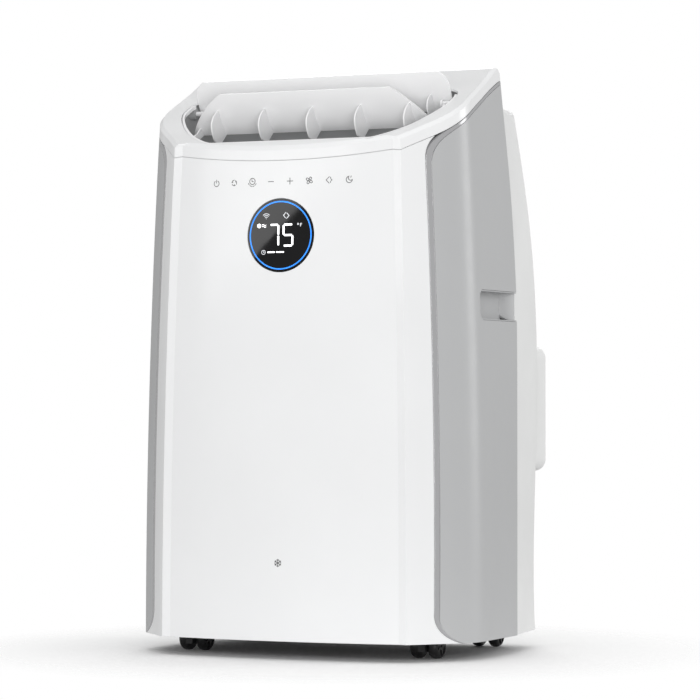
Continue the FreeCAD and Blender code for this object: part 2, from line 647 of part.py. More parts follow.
# base pan, floor between the two halves, casters
hull = body_form(4.2, SKIRT_Z, 730.0, 20.0).fuse(casing_form(4.2))
hull_in = body_form(7.4, SKIRT_Z, 730.0, 20.0).fuse(casing_form(7.4))
pan = hull.common(box(-300, 300, -300, 300, 34.0, 58.0)).cut(hull_in.common(box(-300, 300, -300, 300, PAN_Z, 60)))
places = []
for row in (0, 1):
    for side in (-1, 1):
        places.append((side * CASTER_X[row], CASTER_Y[row]))
for x, y in places:
    pan = pan.fuse(rod(9.0, V(x, y, PAN_Z - 1.0), Z_AXIS, 14.6))
    pan = pan.cut(rod(STEM_R + RUN, V(x, y, 30.0), Z_AXIS, 20.5))
pan = pan.cut(rod(12.6, V(DRAIN_X, 118, DRAIN_Z), Y_AXIS, 20.0))
for x, z in SCREWS:
    pan = pan.cut(rod(2.6, V(x, 110, z), Y_AXIS, 30.0))
NODES["base_pan"] = solids(pan.removeSplitter())
deck = hull.common(box(-300, 300, -300, 300, FLOOR_Z, FLOOR_Z + 3.0))
for x, y, r in PIPE_HOLES:
    deck = deck.cut(rod(r, V(x, y, 380), Z_AXIS, 20))
NODES["middle_deck"] = solids(deck)

for (x, y), name in zip(places, ("front_left", "front_right", "rear_left", "rear_right")):
    NODES[name + "_caster_yoke"] = caster_yoke(x, y)
    NODES[name + "_caster_wheels"] = caster_wheels(x, y)

# lower half: compressor, condenser, exhaust fan
COMP = (-120.0, -70.0)
can = rod(57.0, V(COMP[0], COMP[1], 60.0), Z_AXIS, 190.0)
can = can.makeFillet(18.0, [e for e in can.Edges if len(e.Vertexes) == 1])
plate = rod(66.0, V(COMP[0], COMP[1], 56.0), Z_AXIS, 3.0)
cap = rod(16.0, V(COMP[0], COMP[1], 249.0), Z_AXIS, 14.0)
NODES["compressor"] = fuse([can, plate, rod(40, V(COMP[0], COMP[1], 58.0), Z_AXIS, 10), cap])
feet = []
for k in range(3):
    a = math.radians(120.0 * k + 30.0)
    fx = COMP[0] + 57.0 * math.cos(a)
    fy = COMP[1] + 57.0 * math.sin(a)
    feet.append(rod(11.0, V(fx, fy, PAN_Z), Z_AXIS, 56.0 - PAN_Z))
NODES["compressor_feet"] = group(feet)
acc = rod(22.0, V(-34.0, -88.0, 90.0), Z_AXIS, 120.0)
NODES["suction_accumulator"] = acc.makeFillet(12.0, [e for e in acc.Edges if len(e.Vertexes) == 1])
NODES["condenser_coil"] = coil_pack(-186.0, 20.0, 92.0, 119.0, 66.0, 372.0, 12)
NODES["evaporator_coil"] = coil_pack(-168.0, 168.0, 66.0, 94.0, 420.0, 636.0, 9)
CW = (40.0, 165.0)
NODES["condenser_scroll"] = solids(scroll(CW[0], CW[1], 12.0, 76.0, 96.0, 58.0, (62.0, 174.0, 262.0), 46.0))
NODES["condenser_blower"] = blower_wheel(CW[0], CW[1], 20.0, 68.0, 72.0, 28)
NODES["condenser_fan_motor"] = fan_motor(CW[0], CW[1], -46.0, 8.0, 44.0, 42.0)
duct = box(62.0, 174.0, 12.0, 133.0, 262.6, 374.0).fuse(box(62.0, 174.0, 77.0, 133.0, 236.0, 374.0))
duct = duct.cut(box(64.2, 171.8, 14.2, 130.8, 260.0, 371.8)).cut(box(64.2, 171.8, 79.2, 130.8, 238.2, 371.8))
duct = duct.cut(rod(53.0, V(COLLAR_X, 120, COLLAR_Z), Y_AXIS, 30))
NODES["exhaust_duct"] = solids(duct.common(casing_form(WALL + 0.3).fuse(box(0, 200, 0, 60, 200, 400))))

# upper half: evaporator fan and drip tray
EW = (0.0, 500.0)
NODES["evaporator_scroll"] = solids(scroll(EW[0], EW[1], -120.0, -30.0, 96.0, 70.0, (-97.0, 97.0, 595.0), 50.0))
NODES["evaporator_blower"] = blower_wheel(EW[0], EW[1], -112.0, -38.0, 84.0, 32)
NODES["evaporator_fan_motor"] = fan_motor(EW[0], EW[1], -162.0, -124.0, -88.0, 46.0)
tray = box(-184, 184, 50, 122, 396.0, 414.0).cut(box(-181.6, 181.6, 52.4, 119.6, 398.4, 420.0))
for x, y, r in PIPE_HOLES:
    tray = tray.cut(rod(r - 1.5, V(x, y, 380), Z_AXIS, 40))
NODES["drip_tray"] = tray

# controls in the lower right front
ctrl = round_box(52, 150, -158, -104, 66, 196, 6.0, X_AXIS)
ctrl = ctrl.cut(box(54.4, 147.6, -155.6, -106.4, 68.4, 193.6))
NODES["control_box"] = ctrl
NODES["control_board"] = box(58, 144, -150.0, -148.4, 76, 186)
NODES["run_capacitor"] = rod(15.0, V(84, -128, 72.0), Z_AXIS, 70.0)

# refrigerant lines, outside diameter 8 and 2.5
NODES["discharge_pipe"] = pipe([V(-120, -70, 263), V(-120, -70, 300), V(-160, 0, 300), V(-160, 62, 340),
                                V(-160, 91.7, 340)], 4.0)
NODES["suction_pipe"] = pipe([V(-150, 94.4, 440), V(-150, 108, 440), V(-150, 108, 384), V(-100, 60, 384),
                              V(-34, -40, 330), V(-34, -88, 290), V(-34, -88, 210)], 4.5)
NODES["capillary_tube"] = pipe([V(-128, 94.4, 430), V(-128, 108, 430), V(-128, 108, 386), V(-96, 82, 370),
                                V(-96, 82, 90), V(-150, 82, 78), V(-175, 89.2, 78)], 2.0)

# water slinger in the pan
NODES["slinger_motor"] = fuse([rod(17.0, V(-60, 30, 66), Y_AXIS, 34.0), rod(3.0, V(-60, 63, 66), Y_AXIS, 18.0),
                               box(-74, -46, 34, 58, PAN_Z, 56)])
sling = rod(24.0, V(-60, 70, 66), Y_AXIS, 2.0).fuse(rod(7.0, V(-60, 70, 66), Y_AXIS, 9.0))
for k in range(8):
    paddle = box(12.0, 24.0, 70.0, 79.0, -0.9, 0.9)
    paddle.rotate(V(0, 0, 0), Y_AXIS, 45.0 * k)
    paddle.translate(V(-60, 0, 66))
    sling = sling.fuse(paddle)
NODES["slinger_wheel"] = sling.cut(rod(3.0 + RUN, V(-60, 69, 66), Y_AXIS, 12.0)).removeSplitter()

# drain spout with its plug, cord gland, casing screws
spout = tube(8.0, 5.0, V(DRAIN_X, 122, DRAIN_Z), Y_AXIS, 22.0)
spout = spout.fuse(tube(12.0, 5.0, V(DRAIN_X, 124.0, DRAIN_Z), Y_AXIS, 2.5))
NODES["drain_spout"] = spout.removeSplitter()
plug = rod(5.0 - RUN, V(DRAIN_X, 130, DRAIN_Z), Y_AXIS, 14.4)
plug = plug.fuse(rod(10.0, V(DRAIN_X, 144.4, DRAIN_Z), Y_AXIS, 5.0))
plug = plug.fuse(box(DRAIN_X - 2, DRAIN_X + 2, 149, 156, DRAIN_Z - 7, DRAIN_Z + 7))
NODES["drain_plug"] = plug.removeSplitter()
gland = tube(7.0, 4.0, V(GLAND_X, 124, GLAND_Z), Y_AXIS, 19.0)
gland = gland.fuse(tube(10.5, 4.0, V(GLAND_X, 134.4, GLAND_Z), Y_AXIS, 2.6))
NODES["cord_gland"] = gland.removeSplitter()
screws = []
for x, z in SCREWS:
    y = 133.3 + 0.0102 * (z - SKIRT_Z)
    head = rod(4.2, V(x, y, z), Y_AXIS, 2.4).fuse(rod(1.9, V(x, y - 8.0, z), Y_AXIS, 8.5))
    screws.append(head.cut(box(x - 3, x + 3, y + 1.4, y + 3, z - 0.5, z + 0.5)).removeSplitter())
NODES["casing_screws"] = group(screws)

for name, shape in sorted(NODES.items()):
    shape.exportStep("parts/" + name + ".step")
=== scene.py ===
import json
import math

import bmesh
import bpy
from mathutils import Matrix, Vector
from mathutils.bvhtree import BVHTree


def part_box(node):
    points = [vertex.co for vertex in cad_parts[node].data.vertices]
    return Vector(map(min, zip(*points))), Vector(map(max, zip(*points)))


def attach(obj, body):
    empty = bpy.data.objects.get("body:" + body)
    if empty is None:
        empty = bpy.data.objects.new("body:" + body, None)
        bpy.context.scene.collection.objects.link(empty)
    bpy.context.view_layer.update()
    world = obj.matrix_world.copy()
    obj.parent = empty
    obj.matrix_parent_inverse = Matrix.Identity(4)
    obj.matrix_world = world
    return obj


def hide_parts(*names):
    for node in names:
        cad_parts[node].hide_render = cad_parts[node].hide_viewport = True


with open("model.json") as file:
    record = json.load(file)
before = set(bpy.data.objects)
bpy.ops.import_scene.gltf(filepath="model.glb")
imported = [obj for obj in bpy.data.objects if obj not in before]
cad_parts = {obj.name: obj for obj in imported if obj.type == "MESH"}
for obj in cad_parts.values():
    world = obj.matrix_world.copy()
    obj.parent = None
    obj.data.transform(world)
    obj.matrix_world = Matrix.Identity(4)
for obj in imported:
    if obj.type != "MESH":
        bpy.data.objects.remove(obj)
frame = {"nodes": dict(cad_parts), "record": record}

MM = 0.001
CAMERA_LENS = 161.2
CAMERA_PLACE = Vector((1.6385, -3.54155, 0.3086))
CAMERA_AIM = Vector((0.0208, -0.02765, 0.3703))
KEY_PITCH = 25.2
KEY_START = -88.8
KEY_RISE = 64.5
KEY_LINE = 0.85
FRONT_MARK_Z = 114.7
DIGIT_HEIGHT = 25.2
DIGIT_LINE = 2.4
RING_RADIUS = 40.3
PRINT_LIFT = 0.04
LENS_LIFT = 0.1
MESH_PITCH = 0.0024
MESH_THREAD = 0.00028
MESH_RIM = 0.004
MESH_DEPTH = 0.003
RIB_SPACING = 0.085
WHEEL_R = 0.016
WHEEL_BORE = 0.00256
WHEEL_GAP = 0.005
SPOKES = 5
FLOOR_R = 6.0
STUDIO_AIM = (0.0, 0.0, 0.36)

bpy.context.view_layer.update()
NODES = frame["nodes"]
SCENE = bpy.context.scene


# ---- camera ------------------------------------------------------------------
def add_camera():
    data = bpy.data.cameras.new("camera")
    data.lens = CAMERA_LENS
    data.sensor_width = 36.0
    data.clip_start = 0.05
    data.clip_end = 60.0
    cam = bpy.data.objects.new("camera", data)
    cam.location = CAMERA_PLACE
    aim = CAMERA_AIM - CAMERA_PLACE
    cam.rotation_mode = "QUATERNION"
    cam.rotation_quaternion = aim.to_track_quat("-Z", "Y")
    SCENE.collection.objects.link(cam)
    SCENE.camera = cam


# ---- node materials ----------------------------------------------------------
class Look:
    """A principled material with helpers for object-space patterns."""

    def __init__(self, name, base, rough, **sockets):
        self.material = bpy.data.materials.new(name)
        self.material.use_nodes = True
        self.tree = self.material.node_tree
        self.shader = self.tree.nodes["Principled BSDF"]
        self.shader.inputs["Base Color"].default_value = (*base, 1.0)
        self.shader.inputs["Roughness"].default_value = rough
        for key, value in sockets.items():
            self.shader.inputs[key.replace("_", " ")].default_value = value
        self.base = base
        self.coords = self.node("ShaderNodeTexCoord").outputs["Object"]
        self.normal = None

    def node(self, kind, **inputs):
        n = self.tree.nodes.new(kind)
        for key, value in inputs.items():
            n.inputs[key].default_value = value
        return n

    def link(self, a, b):
        self.tree.links.new(a, b)

    def stretched(self, scale):
        m = self.node("ShaderNodeMapping")
        m.inputs["Scale"].default_value = scale
        self.link(self.coords, m.inputs["Vector"])
        return m.outputs["Vector"]

    def noise(self, scale, detail=3.0, stretch=None):
        n = self.node("ShaderNodeTexNoise", Scale=scale, Detail=detail)
        self.link(self.stretched(stretch) if stretch else self.coords, n.inputs["Vector"])
        return n.outputs["Fac"]

    def cells(self, scale, stretch=None):
        n = self.node("ShaderNodeTexVoronoi", Scale=scale)
        self.link(self.stretched(stretch) if stretch else self.coords, n.inputs["Vector"])
        return n.outputs["Distance"]

    def bands(self, scale, direction, profile="SIN"):
        n = self.node("ShaderNodeTexWave", Scale=scale, Distortion=0.0, Detail=0.0)
        n.bands_direction = direction
        n.wave_profile = profile
        self.link(self.coords, n.inputs["Vector"])
        return n.outputs["Fac"]

    def span(self, fac, low, high, start=0.3, end=0.7):
        n = self.node("ShaderNodeMapRange")
        n.inputs["From Min"].default_value = start
        n.inputs["From Max"].default_value = end
        n.inputs["To Min"].default_value = low
        n.inputs["To Max"].default_value = high
        self.link(fac, n.inputs["Value"])
        return n.outputs["Result"]

    def ramp(self, fac, stops):
        n = self.node("ShaderNodeValToRGB")
        e = n.color_ramp.elements
        while len(e) < len(stops):
            e.new(0.5)
        for item, (place, colour) in zip(e, stops):
            item.position = place
            item.color = (*colour, 1.0)
        self.link(fac, n.inputs["Fac"])
        return n.outputs["Color"]

    def tint(self, fac, low, high, start=0.3, end=0.7):
        """Colour between two multiples of the base, following fac."""
        dark = tuple(c * low for c in self.base)
        light = tuple(min(1.0, c * high) for c in self.base)
        self.link(self.ramp(fac, ((start, dark), (end, light))), self.shader.inputs["Base Color"])
        return self

    def rough(self, fac, low, high):
        self.link(self.span(fac, low, high), self.shader.inputs["Roughness"])
        return self

    def soft_edges(self, radius):
        n = self.node("ShaderNodeBevel", Radius=radius)
        n.samples = 4
        self.normal = n.outputs["Normal"]
        return self

    def bump(self, fac, depth, strength=1.0):
        n = self.node("ShaderNodeBump", Strength=strength, Distance=depth)
        self.link(fac, n.inputs["Height"])
        if self.normal is not None:
            self.link(self.normal, n.inputs["Normal"])
        self.normal = n.outputs["Normal"]
        return self

    def done(self):
        if self.normal is not None:
            self.link(self.normal, self.shader.inputs["Normal"])
        return self.material


def moulded(name, base, rough, grain, depth, edge=0.0, **sockets):
    """Injection-moulded plastic: faint tone drift, uneven gloss, fine grain."""
    look = Look(name, base, rough, **sockets)
    look.tint(look.noise(7.0, 4.0), 0.985, 1.01)
    look.rough(look.noise(38.0, 5.0), rough * 0.9, rough * 1.12)
    if edge:
        look.soft_edges(edge)
    look.bump(look.noise(grain, 2.0), depth)
    return look.done()


def textured(name, base, rough, grain, depth, edge=0.0, **sockets):
    """Spark-eroded plastic with a pebbled grain."""
    look = Look(name, base, rough, **sockets)
    look.tint(look.noise(11.0, 4.0), 0.97, 1.02)
    look.rough(look.noise(60.0, 4.0), rough * 0.88, rough * 1.1)
    if edge:
        look.soft_edges(edge)
    look.bump(look.cells(grain), depth)
    look.bump(look.noise(grain * 0.45, 3.0), depth * 0.6)
    return look.done()


def metal(name, base, rough, stretch, depth=0.00002):
    look = Look(name, base, rough, Metallic=1.0)
    streaks = look.noise(90.0, 5.0, stretch)
    look.tint(streaks, 0.86, 1.08)
    look.rough(look.noise(40.0, 4.0), rough * 0.75, rough * 1.3)
    look.bump(streaks, depth)
    return look.done()


def circuit(name):
    look = Look(name, (0.012, 0.10, 0.045), 0.35, Coat_Weight=0.4)
    n = look.node("ShaderNodeTexBrick", Scale=170.0)
    n.inputs["Color1"].default_value = (0.012, 0.10, 0.045, 1.0)
    n.inputs["Color2"].default_value = (0.02, 0.13, 0.06, 1.0)
    n.inputs["Mortar"].default_value = (0.20, 0.16, 0.05, 1.0)
    n.inputs["Mortar Size"].default_value = 0.04
    look.link(look.coords, n.inputs["Vector"])
    look.link(n.outputs["Color"], look.shader.inputs["Base Color"])
    look.bump(n.outputs["Fac"], 0.00005)
    return look.done()


def finned(name):
    """Aluminium coil face: close vertical fins, with painted shade darkening the gaps between them."""
    look = Look(name, (0.62, 0.64, 0.66), 0.38, Metallic=1.0)
    fins_and_gap_shade = look.bands(190.0, "X")
    # painted shade: the bands darken the base colour to a quarter in the gaps between fins
    look.tint(fins_and_gap_shade, 0.25, 1.1, 0.25, 0.75)
    look.rough(look.noise(120.0, 4.0), 0.3, 0.5)
    look.bump(fins_and_gap_shade, 0.0004)
    return look.done()


def lit(name, colour, strength, low=0.9):
    """A glowing print or light guide, a little uneven along its length."""
    look = Look(name, tuple(c * 0.5 for c in colour), 0.25, Emission_Strength=strength)
    glow = look.noise(60.0, 3.0)
    dim = tuple(c * low for c in colour)
    look.link(look.ramp(glow, ((0.35, dim), (0.65, colour))), look.shader.inputs["Emission Color"])
    look.rough(look.noise(200.0, 2.0), 0.2, 0.3)
    return look.done()


def smoked_glass(name):
    look = Look(name, (0.004, 0.004, 0.0045), 0.03, Specular_IOR_Level=0.3)
    look.tint(look.noise(15.0, 4.0), 0.9, 1.15)
    look.rough(look.noise(30.0, 5.0), 0.02, 0.045)
    return look.done()


def all_looks():
    made = {
        "gloss_shell": moulded("gloss_shell", (0.87, 0.875, 0.88), 0.32, 1500.0, 0.000012, 0.0008,
                               Coat_Weight=0.35, Coat_Roughness=0.12),
        "grey_shell": moulded("grey_shell", (0.475, 0.48, 0.485), 0.40, 2200.0, 0.00002, 0.0006,
                              Coat_Weight=0.15, Coat_Roughness=0.25),
        "bright_trim": moulded("bright_trim", (0.46, 0.46, 0.47), 0.22, 900.0, 0.000008, 0.0009,
                               Metallic=0.35, Coat_Weight=0.5, Coat_Roughness=0.1),
        "grip_grey": textured("grip_grey", (0.47, 0.475, 0.48), 0.5, 1400.0, 0.00005, 0.0005),
        "rear_white": textured("rear_white", (0.84, 0.845, 0.84), 0.46, 1300.0, 0.00004, 0.0007),
        "duct_grey": textured("duct_grey", (0.42, 0.425, 0.43), 0.55, 900.0, 0.00004),
        "louver_white": moulded("louver_white", (0.95, 0.95, 0.955), 0.34, 1200.0, 0.000015, 0.0004,
                                Coat_Weight=0.2, Coat_Roughness=0.15),
        "black_plastic": textured("black_plastic", (0.018, 0.018, 0.019), 0.45, 1500.0, 0.00004, 0.0004),
        "motor_metal": metal("motor_metal", (0.55, 0.56, 0.58), 0.34, (1.0, 8.0, 1.0)),
        "black_glass": smoked_glass("black_glass"),
        "light_guide": lit("light_guide", (0.01, 0.22, 1.0), 1.0),
        "circuit_green": circuit("circuit_green"),
        "pan_grey": textured("pan_grey", (0.10, 0.10, 0.105), 0.5, 900.0, 0.00005),
        "compressor_black": moulded("compressor_black", (0.015, 0.015, 0.016), 0.28, 260.0, 0.00009, 0.0,
                                    Coat_Weight=0.4),
        "rubber_black": textured("rubber_black", (0.02, 0.02, 0.02), 0.7, 700.0, 0.00006),
        "coil_aluminium": finned("coil_aluminium"),
        "copper": metal("copper", (0.72, 0.33, 0.20), 0.26, (2.0, 2.0, 6.0)),
        "filter_mesh": textured("filter_mesh", (0.06, 0.065, 0.07), 0.6, 1100.0, 0.00004),
        "screw_steel": metal("screw_steel", (0.58, 0.58, 0.60), 0.25, (1.0, 1.0, 1.0)),
        "wheel_black": textured("wheel_black", (0.012, 0.012, 0.013), 0.38, 1000.0, 0.00004, 0.0005),
        "key_print": textured("key_print", (0.09, 0.09, 0.092), 0.5, 2500.0, 0.00001),
        "digit_light": lit("digit_light", (1.0, 1.0, 1.0), 1.6),
        "icon_light": lit("icon_light", (0.75, 0.77, 0.80), 0.75),
        "ring_light": lit("ring_light", (0.01, 0.25, 1.0), 1.3, 0.75),
    }
    return made


LOOKS = all_looks()


def dress_nodes():
    for obj in NODES.values():
        old = obj.data.materials[0]
        obj.material_slots[0].material = LOOKS[SLOT_OF[obj.name]]
        if old.users == 0:
            bpy.data.materials.remove(old)


SLOT_OF = {}
for part in frame["record"]["subparts"]:
    SLOT_OF[part["node"]] = part["material_slot"]


# ---- building pieces ---------------------------------------------------------
def piece_from_bmesh(bm, name, body, look, smooth=False):
    mesh = bpy.data.meshes.new(name)
    bmesh.ops.recalc_face_normals(bm, faces=bm.faces)
    bm.to_mesh(mesh)
    bm.free()
    if smooth:
        mesh.shade_smooth()
    mesh.materials.append(LOOKS[look])
    obj = bpy.data.objects.new(name, mesh)
    SCENE.collection.objects.link(obj)
    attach(obj, body)
    return obj


SKINS = {}


def front_y(node, x, z):
    """The y of a node's front surface at x, z, in mm."""
    if node not in SKINS:
        SKINS[node] = BVHTree.FromObject(NODES[node], bpy.context.evaluated_depsgraph_get())
    hit = SKINS[node].ray_cast(Vector((x * MM, -0.6, z * MM)), Vector((0.0, 1.0, 0.0)))
    return hit[0].y / MM


def arc(cx, cz, r, start, end, steps=20):
    pts = []
    for k in range(steps + 1):
        a = math.radians(start + (end - start) * k / steps)
        pts.append((cx + r * math.cos(a), cz + r * math.sin(a)))
    return pts


def ribbon(pts, width, closed):
    """Left and right edges of a flat stroke, mitred at its corners."""
    n = len(pts)
    left, right = [], []
    for k in range(n):
        p = Vector(pts[k])
        before = Vector(pts[k - 1]) if closed or k > 0 else None
        after = Vector(pts[(k + 1) % n]) if closed or k < n - 1 else None
        d0 = (p - before).normalized() if before is not None else None
        d1 = (after - p).normalized() if after is not None else None
        d0 = d1 if d0 is None else d0
        d1 = d0 if d1 is None else d1
        mid = (d0 + d1).normalized()
        side = Vector((-mid.y, mid.x))
        stretch = 1.0 / max(0.45, mid.dot(d0))
        left.append(p + side * (width * 0.5 * stretch))
        right.append(p - side * (width * 0.5 * stretch))
    return left, right


def stroke_into(bm, pts, width, node, lift, closed=False, rounded=True):
    """Adds one raised stroke that lies on a node's front surface."""
    left, right = ribbon(pts, width, closed)
    loops = [(a, b) for a, b in zip(left, right)]
    if rounded and not closed:
        for end, other in ((0, 1), (-1, -2)):
            p = Vector(pts[end])
            d = (p - Vector(pts[other])).normalized()
            side = Vector((-d.y, d.x))
            caps = []
            for f in (0.5, 0.8):
                c = p + d * (width * 0.5 * f)
                w = width * 0.5 * math.sqrt(1.0 - f * f)
                caps.append((c + side * w, c - side * w))
            if end == 0:
                loops = [(b, a) for a, b in reversed(caps)] + loops
            else:
                loops = loops + caps
    rows = []
    for a, b in loops:
        row = []
        for q in (a, b):
            y = front_y(node, q.x, q.y)
            row.append(bm.verts.new((q.x * MM, (y - lift) * MM, q.y * MM)))
            row.append(bm.verts.new((q.x * MM, (y + 0.06) * MM, q.y * MM)))
        rows.append(row)
    count = len(rows)
    last = count if closed else count - 1
    for k in range(last):
        a = rows[k]
        b = rows[(k + 1) % count]
        bm.faces.new((a[0], a[2], b[2], b[0]))
        bm.faces.new((a[1], b[1], b[3], a[3]))
        bm.faces.new((a[0], b[0], b[1], a[1]))
        bm.faces.new((a[2], a[3], b[3], b[2]))
    if not closed:
        for row in (rows[0], rows[-1]):
            bm.faces.new((row[0], row[1], row[3], row[2]))


def print_marks(name, strokes, centre, width, node, lift, look):
    """A printed icon: strokes are (points, closed) about a centre, in mm."""
    bm = bmesh.new()
    for pts, closed in strokes:
        placed = [(centre[0] + x, centre[1] + z) for x, z in pts]
        stroke_into(bm, placed, width, node, lift, closed)
    return piece_from_bmesh(bm, name, "cabinet", look)


# ---- icons -------------------------------------------------------------------
def power_icon():
    return [(arc(0, 0, 3.5, 125, 415), False), ([(0, 0.6), (0, 4.4)], False)]


def mode_icon():
    # three arrows chasing round a ring
    marks = []
    for k in range(3):
        a = 90 + 120 * k
        marks.append((arc(0, 0, 3.3, a, a + 80, 8), False))
        tip = Vector((math.cos(math.radians(a + 84)), math.sin(math.radians(a + 84)))) * 3.3
        back = math.radians(a + 60)
        marks.append(([(2.1 * math.cos(back), 2.1 * math.sin(back)), tuple(tip)], False))
    return marks


def clock_icon():
    marks = [(arc(0, 1.0, 3.7, 0, 342, 24), True), ([(-0.6, 3.1), (-0.6, 1.0), (1.4, 0.6)], False)]
    for k in range(4):
        marks.append((arc(0, 0.6, 5.6, 198 + 38 * k, 222 + 38 * k, 4), False))
    return marks


def minus_icon():
    return [([(-3.5, 0), (3.5, 0)], False)]


def plus_icon():
    return [([(-3.7, 0), (3.7, 0)], False), ([(0, -3.7), (0, 3.7)], False)]


def fan_icon():
    marks = [(arc(0, 0, 0.9, 0, 330, 11), True)]
    for k in range(4):
        leaf = []
        for j in range(9):
            t = j / 8.0
            a = math.radians(90 * k + 20 + 75 * t)
            r = 1.5 + 3.0 * math.sin(math.pi * t) ** 0.8
            leaf.append((r * math.cos(a), r * math.sin(a)))
        marks.append((leaf, False))
    return marks


def swing_icon():
    marks = [([(0.2, 3.9), (-3.8, 0), (0.2, -3.9)], False)]
    marks.append(([(1.9, 3.2), (1.9, 1.6)], False))
    marks.append(([(1.9, -3.2), (1.9, -1.6)], False))
    marks.append(([(2.7, 0.9), (3.6, 0), (2.7, -0.9)], False))
    return marks


def moon_icon():
    outer = arc(0, 0, 3.8, 100, 350, 16)
    inner = arc(1.7, 1.9, 2.9, -25, -238, 12)
    return [(outer + inner[1:-1], True), ([(2.3, 4.2), (1.9, 2.4)], False)]


def snowflake(size):
    marks = []
    for k in range(3):
        a = math.radians(30 + 60 * k)
        dx, dz = size * math.cos(a), size * math.sin(a)
        marks.append(([(-dx, -dz), (dx, dz)], False))
    for k in range(6):
        a = math.radians(30 + 60 * k)
        tip = Vector((math.cos(a), math.sin(a))) * (size * 0.62)
        for turn in (-55, 55):
            b = a + math.radians(turn)
            barb = (tip.x + 0.36 * size * math.cos(b), tip.y + 0.36 * size * math.sin(b))
            marks.append(([tuple(tip), barb], False))
    return marks


def wave_mark(x, z, length):
    pts = []
    for k in range(13):
        t = k / 12.0
        pts.append((x + length * t, z + 0.7 * math.sin(2.0 * math.pi * t)))
    return (pts, False)


# ---- display and keys --------------------------------------------------------
LENS_LOW, LENS_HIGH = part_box("display_lens")
LENS_X = (LENS_LOW.x + LENS_HIGH.x) * 0.5 / MM
LENS_Z = (LENS_LOW.z + LENS_HIGH.z) * 0.5 / MM
KEY_Z = LENS_Z + KEY_RISE
SEGMENTS = {
    "a": ((0, 1), (1, 1)), "b": ((1, 1), (1, 0.5)), "c": ((1, 0.5), (1, 0)), "d": ((0, 0), (1, 0)),
    "e": ((0, 0.5), (0, 0)), "f": ((0, 1), (0, 0.5)), "g": ((0, 0.5), (1, 0.5)),
}


def digit_into(bm, lit_segments, x, width, height, thick):
    """One seven-segment digit, its lower left corner at x, about the lens centre."""
    for key in lit_segments:
        (x0, z0), (x1, z1) = SEGMENTS[key]
        a = Vector((x + width * x0, height * (z0 - 0.5)))
        b = Vector((x + width * x1, height * (z1 - 0.5)))
        d = (b - a).normalized()
        gap = thick * 0.62
        a = a + d * gap
        b = b - d * gap
        pts = [(LENS_X + a.x, LENS_Z + a.y), (LENS_X + b.x, LENS_Z + b.y)]
        stroke_into(bm, pts, thick, "display_lens", LENS_LIFT)


def build_display():
    bm = bmesh.new()
    digit_into(bm, "abc", -13.4, 11.0, DIGIT_HEIGHT, DIGIT_LINE)
    digit_into(bm, "afgcd", 4.4, 11.8, DIGIT_HEIGHT, DIGIT_LINE)
    for x0, x1 in ((-16.3, -7.4), (-4.4, 4.6)):
        pts = [(LENS_X + x0, LENS_Z - 20.1), (LENS_X + x1, LENS_Z - 20.1)]
        stroke_into(bm, pts, 1.7, "display_lens", LENS_LIFT)
    piece_from_bmesh(bm, "display_digits", "cabinet", "digit_light")
    bm = bmesh.new()
    circle = arc(LENS_X, LENS_Z, RING_RADIUS, 0, 357.5, 143)
    stroke_into(bm, circle, 1.5, "display_lens", 0.12, closed=True)
    piece_from_bmesh(bm, "display_ring", "cabinet", "ring_light")
    signal = [(arc(0, -3.0, r, 45, 135, 8), False) for r in (1.9, 3.9, 5.9)]
    signal.append(([(-0.1, -3.1), (0.1, -3.1)], False))
    turn = [([(-0.6, 3.7), (-3.7, 0.3), (-0.9, -2.9)], False),
            ([(0.8, 3.1), (3.6, -0.2), (0.4, -3.6)], False)]
    cool = snowflake(2.5) + [wave_mark(4.0, 0.9, 5.2), wave_mark(4.0, -1.2, 5.2)]
    degree = [(arc(-1.8, 1.4, 0.8, 0, 330, 11), True), ([(1.2, 2.0), (1.2, -1.4)], False),
              ([(1.2, 2.0), (3.0, 2.0)], False), ([(1.2, 0.3), (2.4, 0.3)], False)]
    timer = [(arc(0, 0, 2.5, 0, 340, 17), True), ([(0, 1.5), (0, 0), (1.1, -0.5)], False)]
    for name, marks, centre, width, look in (
            ("icon_signal", signal, (-18.8, 23.2), 0.8, "icon_light"),
            ("icon_turn", turn, (7.8, 23.4), 0.9, "icon_light"),
            ("icon_cooling", cool, (-28.4, 11.7), 0.8, "digit_light"),
            ("icon_degree", degree, (25.2, 11.6), 0.8, "icon_light"),
            ("icon_timer", timer, (-22.1, -20.1), 0.7, "icon_light")):
        place = (LENS_X + centre[0], LENS_Z + centre[1])
        print_marks(name, marks, place, width, "display_lens", LENS_LIFT, look)


def build_keys():
    icons = (power_icon, mode_icon, clock_icon, minus_icon, plus_icon, fan_icon, swing_icon, moon_icon)
    for k, icon in enumerate(icons):
        x = KEY_START + KEY_PITCH * k
        name = "key_" + icon.__name__.replace("_icon", "")
        print_marks(name, icon(), (x, KEY_Z), KEY_LINE, "front_panel", PRINT_LIFT, "key_print")
    print_marks("front_mark", snowflake(4.6), (0.0, FRONT_MARK_Z), 0.9, "front_panel", PRINT_LIFT,
                "key_print")


# ---- filters, as woven mesh in a light frame ---------------------------------
def bar_into(bm, a, b, across, lift, half_w, half_t):
    """A flat bar from a to b; across and lift are its unit side directions."""
    ring = []
    for p in (a, b):
        for s, t in ((-1, -1), (1, -1), (1, 1), (-1, 1)):
            ring.append(bm.verts.new(p + across * (s * half_w) + lift * (t * half_t)))
    quads = ((0, 1, 2, 3), (7, 6, 5, 4), (0, 4, 5, 1), (1, 5, 6, 2), (2, 6, 7, 3), (3, 7, 4, 0))
    for q in quads:
        bm.faces.new([ring[i] for i in q])


